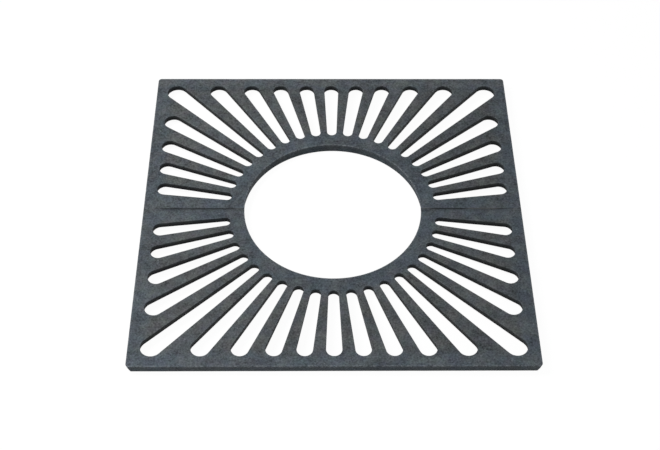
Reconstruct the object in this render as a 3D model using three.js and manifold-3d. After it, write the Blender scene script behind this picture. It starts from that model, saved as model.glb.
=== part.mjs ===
// A square cast iron tree grate in two halves, held together by steel plates underneath.
// A round opening for the trunk sits in the middle, and tapered slots fan out from it to the border.
// Underneath, one rib hangs down round the opening and another round the outer edge.
// Units are millimetres and +Z is up. The origin is under the middle of the opening, level with
// the lowest faces, which are the undersides of both ribs.
import * as THREE from "three";
import { mergeVertices } from "three/addons/utils/BufferGeometryUtils.js";
import Module from "manifold-3d";

const { degToRad } = THREE.MathUtils;

// The whole grate
const SIDE = 1000; // outer square, across both halves
const HEIGHT = 30; // top surface to the underside of the ribs
const BAR_DEPTH = 18.6; // top surface to the underside of the bars
const OPENING_DIAMETER = 467; // trunk opening, at the top surface
const CORNER_RADIUS = 9; // outer corners, seen from above
const SHARPEST_CORNER = 1; // the least radius that the corners keep lower down
const BORDER_WIDTH = 30.5; // solid border between the outer edge and the slots' ends
const RING_BAND_WIDTH = 38.5; // solid band between the opening and the slots
const TOP_BEVEL = 1.5; // round every top edge
const UNDERSIDE_BEVEL = 0.8; // round the lower outer edge
const SLOT_DRAFT_ANGLE = degToRad(7.5); // how far the slots' walls lean, so that a pattern can be drawn
const OPENING_DRAFT_ANGLE = degToRad(9.6); // the same for the opening's wall
const EDGE_DRAFT_ANGLE = degToRad(12.6); // the same for the outer faces, which lean inwards below

// The slots, which leave out the places on the seam, where a solid web carries the joint
const SLOT_ANGLE_STEP = degToRad(9);
const SLOTS_PER_HALF = 19;
const SLOT_INNER_WIDTH = 26; // across the round end by the opening
const SLOT_SIDE_ANGLE = degToRad(2.35); // how far each side opens away from the slot's middle line

// The ribs underneath, as wide as this at their undersides
const RIM_RIB_WIDTH = 12; // round the opening
const BORDER_RIB_WIDTH = 9; // round the outer edge
const BORDER_RIB_CORNER_RADIUS = 10; // inside its corners

// The seam between the halves, which meet at a pad in each end of the border
const SEAM_GAP = 2;
const SEAM_BEVEL = 1; // along the gap's top edges
const SEAM_PAD_LENGTH = 50; // from the outer edge inwards
const SEAM_PAD_CLEARANCE = 0.3; // between the pads of the two halves

// The joint plates, one in a recess under each web, across the seam
const PLATE_RECESS_DEPTH = 5;
const PLATE_CLEARANCE = 1; // between a plate's edge and its recess
const PLATE_PLACE_SHARE = 0.58; // where its middle lies, from the rim's root to the border
const JOINT_PLATE_LENGTH = 150;
const JOINT_PLATE_WIDTH = 46;
const JOINT_PLATE_THICKNESS = 5;
const JOINT_PLATE_CORNER_RADIUS = 6;
const SCREW_END_DISTANCE = 23; // from the plate's end to a screw's axis
const SCREW_EDGE_DISTANCE = 10.5; // from the plate's long edge to a screw's axis
const PLATE_HOLE_DIAMETER = 9;

// Hexagon set screws of nominal size 8, with a plain washer and a spring washer each
const SCREW_DIAMETER = 8;
const SCREW_LENGTH = 16; // under the head
const SCREW_TIP_CHAMFER = 1;
const HEX_ACROSS_FLATS = 13;
const HEX_BEVEL_ANGLE = degToRad(30);
const HEAD_HEIGHT = 5.3;
const THREAD_CLEARANCE = 0.15; // between the screw's crests and the tapped hole, all round
const TAPPED_RUNOUT = 2; // depth of the tapped hole past the screw's tip
const WASHER_DIAMETER = 16;
const WASHER_BORE_DIAMETER = 8.6;
const WASHER_THICKNESS = 1.6;
const SPRING_WASHER_DIAMETER = 14.8;
const SPRING_WASHER_BORE_DIAMETER = 8.4;
const SPRING_WASHER_THICKNESS = 2;
const SPRING_WASHER_SLIT = 1.4;
const SPRING_WASHER_SLIT_ANGLE = degToRad(25);
const HEAD_TURN_STEP = degToRad(23); // the spanner leaves each head turned a little further

// How finely round forms are stepped
const CIRCLE_STEPS = 72;
const SLOT_OUTER_STEPS = 10;
const SLOT_INNER_STEPS = 6;
const CORNER_STEPS = 5;
const PLATE_CORNER_STEPS = 4;
const FASTENER_STEPS = 16;
const HEXAGON_SIDES = 6;

const OVERRUN = 2; // how far a cutter runs past what it cuts

// Worked out from the sizes above
const slotSlope = Math.tan(SLOT_DRAFT_ANGLE);
const openingSlope = Math.tan(OPENING_DRAFT_ANGLE);
const edgeSlope = Math.tan(EDGE_DRAFT_ANGLE);
const bevelZ = HEIGHT - TOP_BEVEL;
const halfSide = SIDE / 2;
const borderLine = halfSide - BORDER_WIDTH;
const openingRadius = OPENING_DIAMETER / 2;
const undersideZ = HEIGHT - BAR_DEPTH;
const slotStartRadius = openingRadius + RING_BAND_WIDTH + SLOT_INNER_WIDTH / 2;
const rimOuterRadius = openingRadius + openingSlope * bevelZ + RIM_RIB_WIDTH;
const rimRootRadius = rimOuterRadius + slotSlope * undersideZ;
const borderRibLine = halfSide - edgeSlope * bevelZ - BORDER_RIB_WIDTH;
const seamFace = SEAM_GAP / 2;
const padFace = SEAM_PAD_CLEARANCE / 2;
const recessZ = undersideZ + PLATE_RECESS_DEPTH;
const jointPlateZ = recessZ - JOINT_PLATE_THICKNESS;
const washerZ = jointPlateZ - WASHER_THICKNESS;
const springWasherZ = washerZ - SPRING_WASHER_THICKNESS;
const jointPlateMiddle = THREE.MathUtils.lerp(rimRootRadius, borderLine, PLATE_PLACE_SHARE);
const screwAlong = JOINT_PLATE_LENGTH / 2 - SCREW_END_DISTANCE;
const screwAcross = JOINT_PLATE_WIDTH / 2 - SCREW_EDGE_DISTANCE;

const wasm = await Module();
wasm.setup();

// A closed geometry as a solid that can be cut and joined.
function solidOf(geometry) {
  const bare = geometry.clone();
  bare.deleteAttribute("normal");
  bare.deleteAttribute("uv");
  const merged = mergeVertices(bare);
  const mesh = new wasm.Mesh({
    numProp: 3,
    vertProperties: new Float32Array(merged.attributes.position.array),
    triVerts: new Uint32Array(merged.index.array),
  });
  return new wasm.Manifold(mesh);
}

// A solid as a geometry with flat-shaded faces.
function geometryOf(solid) {
  const mesh = solid.getMesh();
  const geometry = new THREE.BufferGeometry();
  geometry.setAttribute("position", new THREE.BufferAttribute(mesh.vertProperties, 3));
  geometry.setIndex(new THREE.BufferAttribute(mesh.triVerts, 1));
  const faceted = geometry.toNonIndexed();
  faceted.computeVertexNormals();
  return faceted;
}

const cutBy = (solid, cutters) => cutters.reduce((rest, cutter) => rest.subtract(cutter), solid);

// A closed geometry that passes through outlines at rising heights, all with as many points.
function loft(levels) {
  const count = levels[0].outline.length;
  const positions = levels.flatMap(({ z, outline }) => outline.flatMap((p) => [p.x, p.y, z]));
  const triangles = [];
  for (let level = 0; level < levels.length - 1; level += 1) {
    for (let i = 0; i < count; i += 1) {
      const here = level * count + i;
      const next = level * count + ((i + 1) % count);
      triangles.push(here, next, next + count, here, next + count, here + count);
    }
  }
  const top = (levels.length - 1) * count;
  for (const [a, b, c] of THREE.ShapeUtils.triangulateShape(levels[0].outline, [])) {
    triangles.push(a, c, b);
  }
  for (const [a, b, c] of THREE.ShapeUtils.triangulateShape(levels.at(-1).outline, [])) {
    triangles.push(top + a, top + b, top + c);
  }
  const geometry = new THREE.BufferGeometry();
  geometry.setAttribute("position", new THREE.Float32BufferAttribute(positions, 3));
  geometry.setIndex(triangles);
  return geometry;
}

const onCircle = (centre, radius, angle) =>
  new THREE.Vector2(Math.cos(angle), Math.sin(angle)).multiplyScalar(radius).add(centre);

// Points along an arc, both of its ends included.
function arc(centre, radius, from, to, steps) {
  const points = [];
  for (let i = 0; i <= steps; i += 1) {
    points.push(onCircle(centre, radius, THREE.MathUtils.lerp(from, to, i / steps)));
  }
  return points;
}

const circle = (centre, radius, steps) => arc(centre, radius, 0, 2 * Math.PI, steps).slice(1);
const middle = new THREE.Vector2();

// A rectangle with rounded corners, by its half length, half width and corner radius.
function roundedRectangle(centre, halfLength, halfWidth, radius) {
  const quarter = Math.PI / 2;
  const corner = (alongSign, acrossSign, from) => {
    const offset = new THREE.Vector2(
      alongSign * (halfLength - radius),
      acrossSign * (halfWidth - radius),
    );
    return arc(offset.add(centre), radius, from, from + quarter, PLATE_CORNER_STEPS);
  };
  return [
    ...corner(1, 1, 0),
    ...corner(-1, 1, quarter),
    ...corner(-1, -1, 2 * quarter),
    ...corner(1, -1, 3 * quarter),
  ];
}

// One slot from above: a small round end by the opening, a large one by the border, and the
// straight sides that touch both. All of it can be grown outwards.
function slotOutline(angle, growth) {
  const widening = Math.sin(SLOT_SIDE_ANGLE);
  const towardsBorder = Math.max(Math.abs(Math.cos(angle)), Math.abs(Math.sin(angle)));
  const innerRadius = SLOT_INNER_WIDTH / 2;
  const room = borderLine - innerRadius + widening * slotStartRadius;
  const endDistance = room / (towardsBorder + widening);
  const outerRadius = innerRadius + widening * (endDistance - slotStartRadius);
  const start = onCircle(middle, slotStartRadius, angle);
  const end = onCircle(middle, endDistance, angle);
  const touch = Math.PI / 2 + SLOT_SIDE_ANGLE;
  const touchAgain = 2 * Math.PI - touch;
  return [
    ...arc(end, outerRadius + growth, angle - touch, angle + touch, SLOT_OUTER_STEPS),
    ...arc(start, innerRadius + growth, angle + touch, angle + touchAgain, SLOT_INNER_STEPS),
  ];
}

// A cutter whose walls lean outwards on the way down, with a bevel round its top edge.
function throughCutter(outlineGrownBy, slope, bottomZ) {
  const lowestZ = bottomZ - OVERRUN;
  return solidOf(
    loft([
      { z: lowestZ, outline: outlineGrownBy(slope * (bevelZ - lowestZ)) },
      { z: bevelZ, outline: outlineGrownBy(0) },
      { z: HEIGHT + OVERRUN, outline: outlineGrownBy(TOP_BEVEL + OVERRUN) },
    ]),
  );
}

function slotCutter(index) {
  const angle = SLOT_ANGLE_STEP * (index + 1);
  return throughCutter((growth) => slotOutline(angle, growth), slotSlope, undersideZ);
}

function openingCutter() {
  const outline = (growth) => circle(middle, openingRadius + growth, CIRCLE_STEPS);
  return throughCutter(outline, openingSlope, 0);
}

// The half of a square that lies behind a line along X, with its two outer corners rounded.
function halfSquare(edge, seam, cornerRadius) {
  const right = new THREE.Vector2(edge - cornerRadius, edge - cornerRadius);
  const left = new THREE.Vector2(-right.x, right.y);
  return [
    new THREE.Vector2(-edge, seam),
    new THREE.Vector2(edge, seam),
    ...arc(right, cornerRadius, 0, Math.PI / 2, CORNER_STEPS),
    ...arc(left, cornerRadius, Math.PI / 2, Math.PI, CORNER_STEPS),
  ];
}

// The casting's outer form, as deep as the ribs, before anything is cut out of it.
function block() {
  const level = (z, edgeInset) => {
    const cornerRadius = Math.max(CORNER_RADIUS - edgeInset, SHARPEST_CORNER);
    return { z, outline: halfSquare(halfSide - edgeInset, padFace, cornerRadius) };
  };
  return solidOf(
    loft([
      level(0, edgeSlope * bevelZ + UNDERSIDE_BEVEL),
      level(UNDERSIDE_BEVEL, edgeSlope * (bevelZ - UNDERSIDE_BEVEL)),
      level(bevelZ, 0),
      level(HEIGHT, TOP_BEVEL),
    ]),
  );
}

// What is cored out below the bars, inside the border's rib and across the seam.
function underCutter() {
  const level = (z) => {
    const edge = borderRibLine - slotSlope * z;
    return { z, outline: halfSquare(edge, -OVERRUN, BORDER_RIB_CORNER_RADIUS) };
  };
  return solidOf(loft([level(-OVERRUN), level(undersideZ)]));
}

// The rib round the opening, behind the seam, before the opening is cut through it.
function rimRib() {
  const halfRing = (radius) => {
    const seamAngle = Math.asin(padFace / radius);
    return arc(middle, radius, seamAngle, Math.PI - seamAngle, CIRCLE_STEPS / 2);
  };
  return solidOf(
    loft([
      { z: 0, outline: halfRing(rimOuterRadius) },
      { z: undersideZ, outline: halfRing(rimRootRadius) },
      { z: undersideZ + OVERRUN, outline: halfRing(rimRootRadius) },
    ]),
  );
}

// What is cut back along the seam between the pads, bevelled along its top edges.
function seamCutter() {
  const reach = halfSide - SEAM_PAD_LENGTH;
  const level = (z, growth) => ({
    z,
    outline: [
      new THREE.Vector2(-reach - growth, -OVERRUN),
      new THREE.Vector2(reach + growth, -OVERRUN),
      new THREE.Vector2(reach + growth, seamFace + growth),
      new THREE.Vector2(-reach - growth, seamFace + growth),
    ],
  });
  return solidOf(
    loft([
      level(-OVERRUN, 0),
      level(HEIGHT - SEAM_BEVEL, 0),
      level(HEIGHT + OVERRUN, SEAM_BEVEL + OVERRUN),
    ]),
  );
}

// The recess for the joint plate under the right-hand web, open downwards.
function recessCutter() {
  const lowestZ = undersideZ - OVERRUN;
  const atHeight = (z) => {
    const growth = PLATE_CLEARANCE + slotSlope * (recessZ - z);
    const halfLength = JOINT_PLATE_LENGTH / 2 + growth;
    const halfWidth = JOINT_PLATE_WIDTH / 2 + growth;
    const radius = JOINT_PLATE_CORNER_RADIUS + growth;
    const centre = new THREE.Vector2(jointPlateMiddle, 0);
    return { z, outline: roundedRectangle(centre, halfLength, halfWidth, radius) };
  };
  return solidOf(loft([atHeight(lowestZ), atHeight(recessZ)]));
}

// A blind tapped hole, as its clear bore.
function tappedHoleCutter(x, y) {
  const radius = SCREW_DIAMETER / 2 + THREAD_CLEARANCE;
  const centre = new THREE.Vector2(x, y);
  const topZ = springWasherZ + SCREW_LENGTH + TAPPED_RUNOUT;
  return solidOf(
    loft([
      { z: recessZ - OVERRUN, outline: circle(centre, radius, FASTENER_STEPS) },
      { z: topZ, outline: circle(centre, radius, FASTENER_STEPS) },
    ]),
  );
}

const bothEnds = [-1, 1];

// One half of the grate. The other is the same casting, turned half a turn.
function halfGrate() {
  const body = block().subtract(underCutter()).add(rimRib());
  const slots = Array.from({ length: SLOTS_PER_HALF }, (_, index) => slotCutter(index));
  const holes = bothEnds.map((end) =>
    tappedHoleCutter(jointPlateMiddle + end * screwAlong, screwAcross),
  );
  const rightJoint = [recessCutter(), ...holes];
  const leftJoint = rightJoint.map((cutter) => cutter.mirror([1, 0, 0]));
  const cutters = [openingCutter(), seamCutter(), ...slots, ...rightJoint, ...leftJoint];
  return geometryOf(cutBy(body, cutters));
}

// A flat steel plate with rounded corners and four clearance holes, its top face at zero.
function jointPlate() {
  const outline = roundedRectangle(
    middle,
    JOINT_PLATE_LENGTH / 2,
    JOINT_PLATE_WIDTH / 2,
    JOINT_PLATE_CORNER_RADIUS,
  );
  const blank = solidOf(loft([{ z: -JOINT_PLATE_THICKNESS, outline }, { z: 0, outline }]));
  const holes = screwPlaces(0).map(({ x, y }) => {
    const hole = circle(new THREE.Vector2(x, y), PLATE_HOLE_DIAMETER / 2, FASTENER_STEPS);
    return solidOf(
      loft([
        { z: -JOINT_PLATE_THICKNESS - OVERRUN, outline: hole },
        { z: OVERRUN, outline: hole },
      ]),
    );
  });
  return geometryOf(cutBy(blank, holes));
}

// The four screws of one joint plate, whose middle is at the given place along the seam.
function screwPlaces(plateMiddle) {
  return bothEnds.flatMap((across) =>
    bothEnds.map((along) => ({
      x: plateMiddle + along * screwAlong,
      y: across * screwAcross,
      row: across < 0 ? "front" : "rear",
      place: along * plateMiddle < 0 ? "inner" : "outer",
    })),
  );
}

// A closed ring turned round +Z, from its bore, outer diameter and thickness.
function ring(bore, diameter, thickness) {
  const inner = bore / 2;
  const outer = diameter / 2;
  const profile = [
    new THREE.Vector2(inner, 0),
    new THREE.Vector2(outer, 0),
    new THREE.Vector2(outer, thickness),
    new THREE.Vector2(inner, thickness),
    new THREE.Vector2(inner, 0),
  ];
  return new THREE.LatheGeometry(profile, FASTENER_STEPS).rotateX(Math.PI / 2);
}

const washer = () => ring(WASHER_BORE_DIAMETER, WASHER_DIAMETER, WASHER_THICKNESS);

// A split ring, as the tightened screw holds it.
function springWasher() {
  const whole = ring(SPRING_WASHER_BORE_DIAMETER, SPRING_WASHER_DIAMETER, SPRING_WASHER_THICKNESS);
  const outer = SPRING_WASHER_DIAMETER / 2;
  const slit = new THREE.BoxGeometry(outer, SPRING_WASHER_SLIT, outer);
  slit.rotateX(SPRING_WASHER_SLIT_ANGLE);
  slit.translate(outer, 0, SPRING_WASHER_THICKNESS / 2);
  return geometryOf(solidOf(whole).subtract(solidOf(slit)));
}

// A hexagon set screw that points up, with the face under its head at zero.
function screw() {
  const cornerRadius = HEX_ACROSS_FLATS / Math.sqrt(3);
  const flatRadius = HEX_ACROSS_FLATS / 2;
  const bevelDrop = (cornerRadius - flatRadius) * Math.tan(HEX_BEVEL_ANGLE);
  const outline = circle(middle, cornerRadius, HEXAGON_SIDES);
  const prism = solidOf(loft([{ z: -HEAD_HEIGHT, outline }, { z: 0, outline }]));
  const bevelled = [
    { z: -HEAD_HEIGHT, outline: circle(middle, flatRadius, FASTENER_STEPS) },
    { z: bevelDrop - HEAD_HEIGHT, outline: circle(middle, cornerRadius, FASTENER_STEPS) },
    { z: OVERRUN, outline: circle(middle, cornerRadius + OVERRUN, FASTENER_STEPS) },
  ];
  const radius = SCREW_DIAMETER / 2;
  const shankLevels = [
    { z: -HEAD_HEIGHT / 2, outline: circle(middle, radius, FASTENER_STEPS) },
    {
      z: SCREW_LENGTH - SCREW_TIP_CHAMFER,
      outline: circle(middle, radius, FASTENER_STEPS),
    },
    {
      z: SCREW_LENGTH,
      outline: circle(middle, radius - SCREW_TIP_CHAMFER, FASTENER_STEPS),
    },
  ];
  const head = prism.intersect(solidOf(loft(bevelled)));
  return geometryOf(head.add(solidOf(loft(shankLevels))));
}

const castIron = new THREE.MeshStandardMaterial({ color: 0x50565b, roughness: 0.62, metalness: 0.35 });
const galvanised = new THREE.MeshStandardMaterial({ color: 0x8f9496, roughness: 0.5, metalness: 0.8 });
const zincPlated = new THREE.MeshStandardMaterial({ color: 0xa3a6a8, roughness: 0.38, metalness: 0.9 });

function piece(name, geometry, material) {
  const mesh = new THREE.Mesh(geometry, material);
  mesh.name = name;
  return mesh;
}

// The two halves, which are one casting twice.
function castings() {
  const geometry = halfGrate();
  const rear = piece("rear_half", geometry, castIron);
  const front = piece("front_half", geometry, castIron);
  front.rotation.z = Math.PI;
  return [rear, front];
}

// One joint plate with its four screws and their washers.
function joint(side, plateMiddle, shapes) {
  const pieces = [];
  const plateMesh = piece(`joint_plate_${side}`, shapes.jointPlate, galvanised);
  plateMesh.position.set(plateMiddle, 0, recessZ);
  pieces.push(plateMesh);
  screwPlaces(plateMiddle).forEach(({ x, y, row, place }, index) => {
    const stack = [
      ["washer", shapes.washer, washerZ],
      ["spring_washer", shapes.springWasher, springWasherZ],
      ["screw", shapes.screw, springWasherZ],
    ];
    for (const [kind, geometry, z] of stack) {
      const mesh = piece(`${kind}_${side}_${row}_${place}`, geometry, zincPlated);
      mesh.position.set(x, y, z);
      mesh.rotation.z = HEAD_TURN_STEP * index;
      pieces.push(mesh);
    }
  });
  return pieces;
}

function joints() {
  const shapes = {
    jointPlate: jointPlate(),
    washer: washer(),
    springWasher: springWasher(),
    screw: screw(),
  };
  return [
    ...joint("left", -jointPlateMiddle, shapes),
    ...joint("right", jointPlateMiddle, shapes),
  ];
}

const grate = new THREE.Group();
grate.add(...castings(), ...joints());

export default grate;
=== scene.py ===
import math

import bmesh
import bpy
import numpy as np
from mathutils import Matrix, Vector, noise
from mathutils.geometry import delaunay_2d_cdt


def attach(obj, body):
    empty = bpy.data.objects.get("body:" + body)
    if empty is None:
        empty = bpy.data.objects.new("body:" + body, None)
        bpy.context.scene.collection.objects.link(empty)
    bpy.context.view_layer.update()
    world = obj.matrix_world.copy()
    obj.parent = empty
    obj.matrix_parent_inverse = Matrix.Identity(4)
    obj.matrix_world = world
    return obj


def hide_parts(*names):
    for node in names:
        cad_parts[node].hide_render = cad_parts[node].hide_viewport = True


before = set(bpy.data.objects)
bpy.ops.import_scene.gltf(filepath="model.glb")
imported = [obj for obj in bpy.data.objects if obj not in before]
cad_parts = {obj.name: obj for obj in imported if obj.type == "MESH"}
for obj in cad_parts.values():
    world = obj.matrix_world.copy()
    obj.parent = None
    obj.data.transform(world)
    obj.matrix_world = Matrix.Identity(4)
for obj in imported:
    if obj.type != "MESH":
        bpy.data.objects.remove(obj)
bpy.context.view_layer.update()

# A cast iron tree grate in two bolted halves, dressed as in the photograph.
# Lengths are in millimetres until a mesh is finished, and MM turns them into metres.
MM = 0.001

# The grate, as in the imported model
SIDE = 1000.0
HEIGHT = 30.0
BAR_DEPTH = 18.6
OPENING_DIAMETER = 467.0
CORNER_RADIUS = 9.0
BORDER_WIDTH = 30.5
RING_BAND_WIDTH = 38.5
SLOT_DRAFT = math.radians(7.5)
OPENING_DRAFT = math.radians(9.6)
EDGE_DRAFT = math.radians(12.6)
SLOT_ANGLE_STEP = math.radians(9.0)
SLOTS_PER_HALF = 19
SLOT_INNER_WIDTH = 26.0
SLOT_SIDE_ANGLE = math.radians(2.35)
RIM_RIB_WIDTH = 12.0
BORDER_RIB_WIDTH = 9.0
BORDER_RIB_CORNER_RADIUS = 10.0
TOP_BEVEL = 1.5
SEAM_GAP = 2.0
SEAM_PAD_LENGTH = 50.0
SEAM_PAD_CLEARANCE = 0.3
PLATE_RECESS_DEPTH = 5.0
PLATE_CLEARANCE = 1.0
PLATE_PLACE_SHARE = 0.58
PLATE_LENGTH = 150.0
PLATE_WIDTH = 46.0
PLATE_THICKNESS = 5.0
PLATE_CORNER_RADIUS = 6.0
SCREW_END_DISTANCE = 23.0
SCREW_EDGE_DISTANCE = 10.5
PLATE_HOLE_DIAMETER = 9.0
SCREW_DIAMETER = 8.0
SCREW_PITCH = 1.25
SCREW_LENGTH = 16.0
HEX_ACROSS_FLATS = 13.0
HEAD_HEIGHT = 5.3
THREAD_CLEARANCE = 0.15
WASHER_DIAMETER = 16.0
WASHER_BORE_DIAMETER = 8.6
WASHER_THICKNESS = 1.6
SPRING_WASHER_DIAMETER = 14.8
SPRING_WASHER_BORE_DIAMETER = 8.4
SPRING_WASHER_THICKNESS = 2.0
SPRING_WASHER_SLIT = 1.4
SPRING_WASHER_SLIT_ANGLE = math.radians(25.0)
HEAD_TURN_STEP = math.radians(23.0)

# What the foundry and the shot blast leave
TOP_EDGE_RADIUS = 1.5
SEAM_EDGE_RADIUS = 1.1
LOWER_EDGE_RADIUS = 0.7
LOWER_CORNER_RADIUS = 5.5  # least radius of the outer corners towards the underside
RIB_FILLET_RADIUS = 3.0
PAD_BLEND = 8.0  # over which a seam pad rises out of the web and the top
WEAR_BAND = 2.5  # flat strip beside each rounded top edge, over which the wear fades
WEAR_DEPTH = 3.4  # below the top, where the wear ends
WEAR_RISE = 1.4  # above there, where it is full
FLAT_TOLERANCE = 0.001  # below the top, what still counts as flat
WARP = 0.13  # how far the cast surface strays from its true form
WARP_LENGTH = 55.0  # over which it strays
WARP_SEED = 7  # without one, Blender's noise starts from the clock and each run differs
WARPS_DRAWN_IN = 2.2  # how many warps the sides are drawn in, to leave room for it
WARPS_LEVELLED = 1.2  # how many the top sinks and the underside rises

# Edges and gaps of the recesses, plates, washers and screws
RECESS_EDGE = 0.6
TAPPED_MOUTH = 0.6  # how much wider than the screw a tapped hole starts
TAPPED_MOUTH_DEPTH = 0.45
TAPPED_DEPTH = 8.2  # over the recess, where the drill's point starts
DRILLED_DEPTH = 9.2
DRILL_TIP_RADIUS = 0.4
SEATING_GAP = 0.02  # left between pieces that press on each other
PLATE_TOP_GAP = 0.12  # the same over a plate, where the cast surface strays
PLATE_EDGE_RADIUS = 0.7
PLATE_HOLE_EDGE_RADIUS = 0.4
WASHER_EDGE_RADIUS = 0.3
SPRING_WASHER_EDGE_RADIUS = 0.25
HEAD_FACE_SHARE = 0.95  # of half the width across flats
HEAD_CHAMFER_ANGLE = math.radians(30.0)
HEAD_DISH_FLOOR_SHARE = 0.62  # of the head's flat face
HEAD_DISH_RIM_SHARE = 0.7
HEAD_DISH_DEPTH = 0.25
HEAD_FACE_EDGE = 0.1
HEAD_FACE_EDGE_START = 0.15
HEAD_BACK_EDGE = 0.12
HEAD_BACK_EDGE_START = 0.5  # before the side that presses on the washer
HEAD_WASHER_FACE_SHARE = 0.94
HEAD_WASHER_FACE_HEIGHT = 0.3
THREAD_CREST_GAP = 0.03
THREAD_DEPTH_SHARE = 0.61  # of the pitch
THREAD_FLANK_STEEPNESS = 2.6
THREAD_TIP_CHAMFER = 1.0

# How finely the forms are stepped
POINT_SPACING = 12.0  # between points on broad faces
SEAM_FACE_SPACING = 6.0
RECESS_SPACING = 8.0
PLATE_SPACING = 9.0
UNDERSIDE_SPACING = 16.0
EDGE_MARGIN_SHARE = 0.4  # of the spacing, kept free beside a face's edges
TOP_EDGE_TURNS = (85, 72, 58, 44, 28, 12, -9)  # degrees round a top edge
SMALL_EDGE_TURNS = (30, 60, 90)  # degrees round any smaller edge or fillet
SEAM_STRIP_LEVELS = 6  # of a top edge's heights, the ones that hold the seam's rounded edge
WALL_STEPS = 4
SLOT_OUTER_STEPS = 26
SLOT_INNER_STEPS = 18
CORNER_STEPS = 10
OPENING_STEPS = 108
RECESS_END_STEPS = 2
RECESS_CORNER_STEPS = 6
INSIDE_RECESS_STEPS = 4  # along the seam, between the rim and a recess
OUTSIDE_RECESS_STEPS = 3  # between a recess and the outer rib
TAPPED_STEPS = 24
PLATE_CORNER_STEPS = 8
PLATE_HOLE_STEPS = 32
WASHER_STEPS = 48
SPRING_WASHER_STEPS = 56
SCREW_STEPS = 72
LEVELS_PER_THREAD = 8
JOINING_DISTANCE = 0.002
OUTLINE_TOLERANCE = 1e-6
CAST_SMOOTH_ANGLE = math.radians(38.0)
FASTENER_SMOOTH_ANGLE = math.radians(30.0)
EVEN_SHADING_WEIGHT = 60

slot_slope = math.tan(SLOT_DRAFT)
opening_slope = math.tan(OPENING_DRAFT)
edge_slope = math.tan(EDGE_DRAFT)
half_side = SIDE / 2
border_line = half_side - BORDER_WIDTH
opening_radius = OPENING_DIAMETER / 2
underside_z = HEIGHT - BAR_DEPTH
bevel_z = HEIGHT - TOP_BEVEL
slot_start_radius = opening_radius + RING_BAND_WIDTH + SLOT_INNER_WIDTH / 2
rim_outer_radius = opening_radius + opening_slope * bevel_z + RIM_RIB_WIDTH
rim_root_radius = rim_outer_radius + slot_slope * underside_z
border_rib_line = half_side - edge_slope * bevel_z - BORDER_RIB_WIDTH
seam_face = SEAM_GAP / 2
pad_start = half_side - SEAM_PAD_LENGTH
pad_rise = seam_face - SEAM_PAD_CLEARANCE / 2
recess_z = underside_z + PLATE_RECESS_DEPTH
plate_z = recess_z - PLATE_THICKNESS
washer_z = plate_z - WASHER_THICKNESS
spring_washer_z = washer_z - SPRING_WASHER_THICKNESS
plate_middle = rim_root_radius + (border_line - rim_root_radius) * PLATE_PLACE_SHARE
screw_along = PLATE_LENGTH / 2 - SCREW_END_DISTANCE
screw_across = PLATE_WIDTH / 2 - SCREW_EDGE_DISTANCE


# Drawing aids


def on_circle(centre, radius, angle):
    return (centre[0] + radius * math.cos(angle), centre[1] + radius * math.sin(angle))


def between(start, end, steps):
    """Numbers in even steps from one to another, both included."""
    return [start + (end - start) * i / steps for i in range(steps + 1)]


def arc(centre, radius, start, end, steps):
    """Points along an arc, both of its ends included."""
    return [on_circle(centre, radius, angle) for angle in between(start, end, steps)]


def line(start, end, steps):
    """Points along a straight line, both of its ends included."""
    return list(zip(*(between(a, b, steps) for a, b in zip(start, end))))


def steps_for(length, spacing=POINT_SPACING):
    return max(1, round(length / spacing))


def edge_depth(radius, turn):
    """How far a rounded edge is below its start, or above its end, at a turn in degrees."""
    return radius * (1 - math.sin(math.radians(turn)))


def chain(*runs):
    """Runs of points end to end, each starting where the last one stopped."""
    points = list(runs[0])
    for run in runs[1:]:
        points.extend(run[1:])
    return points


def circle(centre, radius, steps):
    return arc(centre, radius, 0, 2 * math.pi, steps)[:-1]


def at_height(points, z):
    return [(x, y, z) for x, y in points]


def skin(form, rows, closed=False):
    """Faces between rows of points that run side by side."""
    laid = [[form.verts.new(point) for point in row] for row in rows]
    for near, far in zip(laid, laid[1:]):
        count = len(near)
        for i in range(count if closed else count - 1):
            j = (i + 1) % count
            form.faces.new((near[i], near[j], far[j], far[i]))


def cap(form, points):
    """One flat face over a closed row of points."""
    form.faces.new([form.verts.new(point) for point in points])


def crossings_inside(points, loops):
    """Which points lie inside an odd number of loops."""
    inside = np.zeros(len(points), dtype=bool)
    for loop in loops:
        x, y = points[:, 0], points[:, 1]
        for (x0, y0), (x1, y1) in zip(loop, loop[1:] + loop[:1]):
            spans = (y0 > y) != (y1 > y)
            if spans.any():
                inside ^= spans & (x < x0 + (y - y0) * (x1 - x0) / ((y1 - y0) or 1.0))
    return inside


def clear_of(points, loops, gap):
    """Which points lie further than a gap from every side of the loops."""
    clear = np.ones(len(points), dtype=bool)
    for loop in loops:
        for start, end in zip(loop, loop[1:] + loop[:1]):
            along = np.subtract(end, start)
            share = np.clip((points - start) @ along / (along @ along), 0, 1)
            clear &= np.linalg.norm(points - start - np.outer(share, along), axis=1) > gap
    return clear


def level(z):
    return lambda x, y: (x, y, z)


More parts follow.
